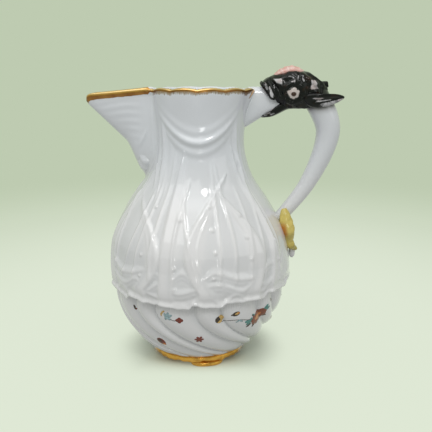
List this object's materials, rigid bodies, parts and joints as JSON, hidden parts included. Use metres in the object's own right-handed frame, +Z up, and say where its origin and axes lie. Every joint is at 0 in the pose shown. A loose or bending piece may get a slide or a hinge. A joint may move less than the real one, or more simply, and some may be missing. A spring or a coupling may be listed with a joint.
{
  "type": "milk jug",
  "caption": "Pear-shaped porcelain milk jug with a beak spout, a spirally fluted bowl, a gilt foot and a handle shaped as a sea beast.",
  "frame": {"origin": "on the table, under the middle of the jug's length from spout tip to handle fin", "axes": "+Z up, -X towards the spout, +X towards the handle; the body's own axis stands 9.1 mm to the spout's side of the origin"},
  "size_m": [0.1387, 0.1028, 0.1623],
  "materials": {
    "porcelain": "glossy white glaze",
    "gilding": "burnished gilding over porcelain",
    "black_enamel": "glossy black enamel",
    "pink_enamel": "glossy pink enamel",
    "yellow_enamel": "glossy yellow enamel",
    "eye_white": "glossy off-white enamel"
  },
  "bodies": {
    "root": {"upper_body": "porcelain", "fluted_bowl": "porcelain", "foot_ring": "gilding", "foot_pad_front": "gilding", "foot_pad_right": "gilding", "foot_pad_back": "gilding", "foot_pad_left": "gilding", "spout": "porcelain", "spout_boss": "porcelain", "handle_bridge": "porcelain", "handle_stem": "porcelain", "beast_head": "black_enamel", "lower_jaw": "black_enamel", "crest": "pink_enamel", "nape_fin": "black_enamel", "gill_fin_front": "black_enamel", "gill_fin_back": "black_enamel", "eye_front": "eye_white", "eye_back": "eye_white", "tail_fluke_front": "yellow_enamel", "tail_fluke_back": "yellow_enamel", "tail_fluke_lower": "yellow_enamel", "tail_tip": "porcelain"}
  },
  "joints": []
}
